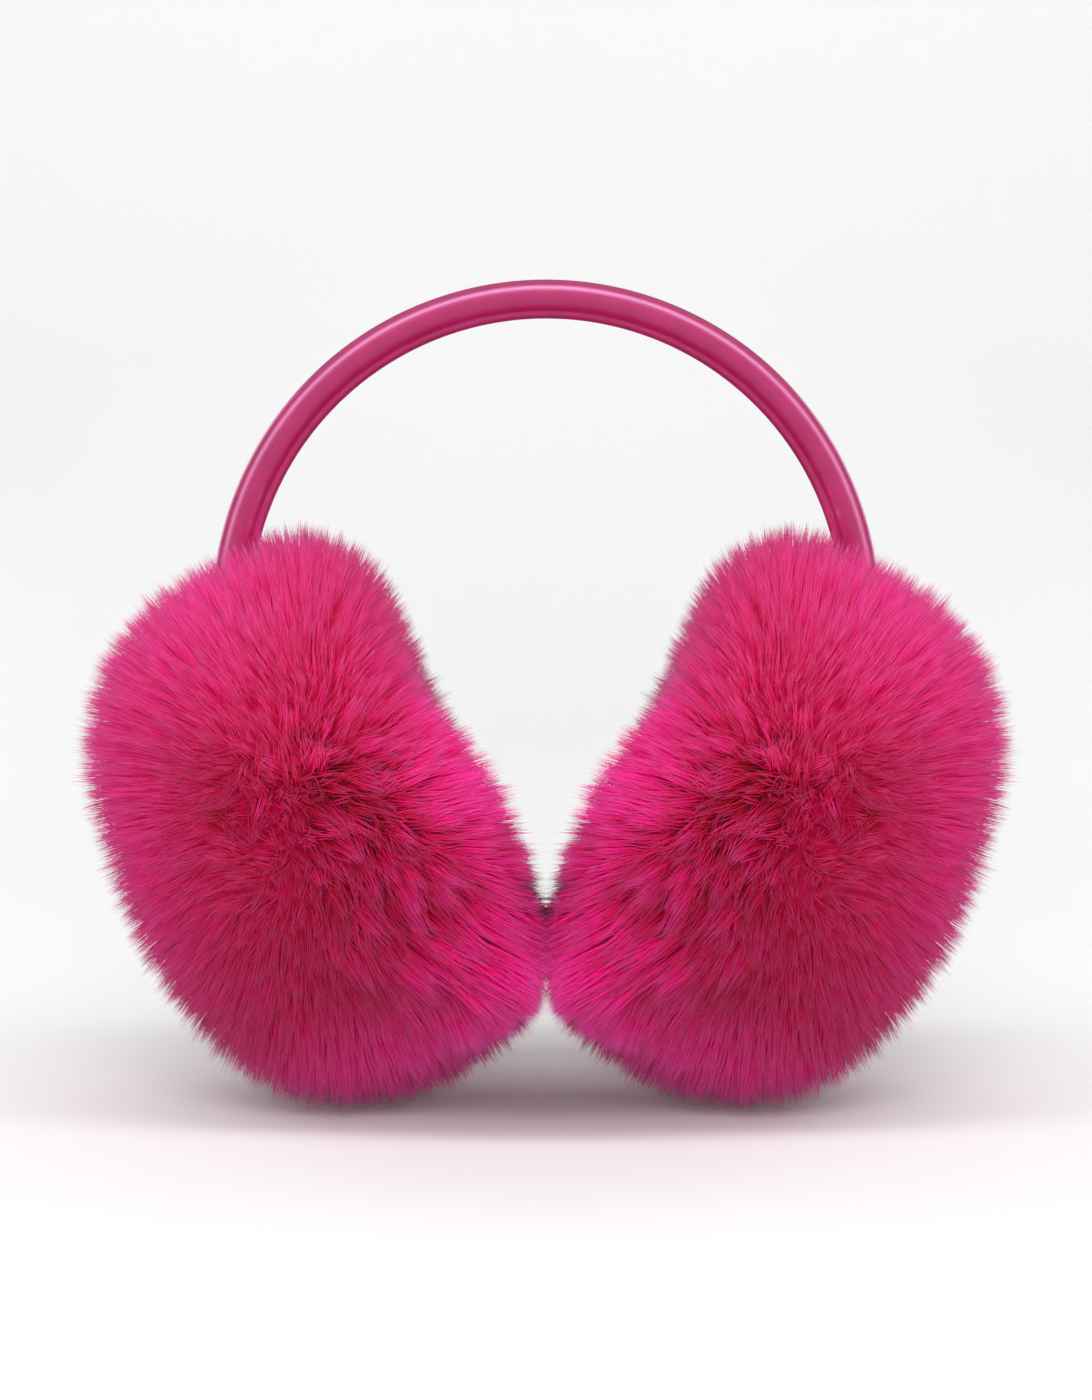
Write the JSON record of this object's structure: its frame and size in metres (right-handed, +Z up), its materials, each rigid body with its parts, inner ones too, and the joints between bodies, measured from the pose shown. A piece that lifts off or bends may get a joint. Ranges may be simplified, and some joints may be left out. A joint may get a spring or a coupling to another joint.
{
  "type": "fur earmuffs",
  "caption": "Fluffy fur earmuffs: a round satin-sleeved headband with a thick domed fur muff on each end, for covering the ears in cold weather.",
  "frame": {"origin": "on the surface that the earmuffs stand on, below the middle of the headband", "axes": "+X from the left muff to the right one as the picture shows them, +Y from the front to the back, +Z up"},
  "size_m": [0.2118, 0.1322, 0.1845],
  "materials": {
    "satin_sleeve": "glossy magenta satin, sewn into a thin rolled seam on the inner side",
    "fur": "deep magenta-pink faux fur, darker at the roots and paler at the tips",
    "moulded_frame": "plain moulded plastic, hidden inside the muff"
  },
  "bodies": {
    "root": {"headband": "satin_sleeve", "left_fur_muff": "fur", "right_fur_muff": "fur", "left_ear_frame": "moulded_frame", "right_ear_frame": "moulded_frame"}
  },
  "joints": []
}
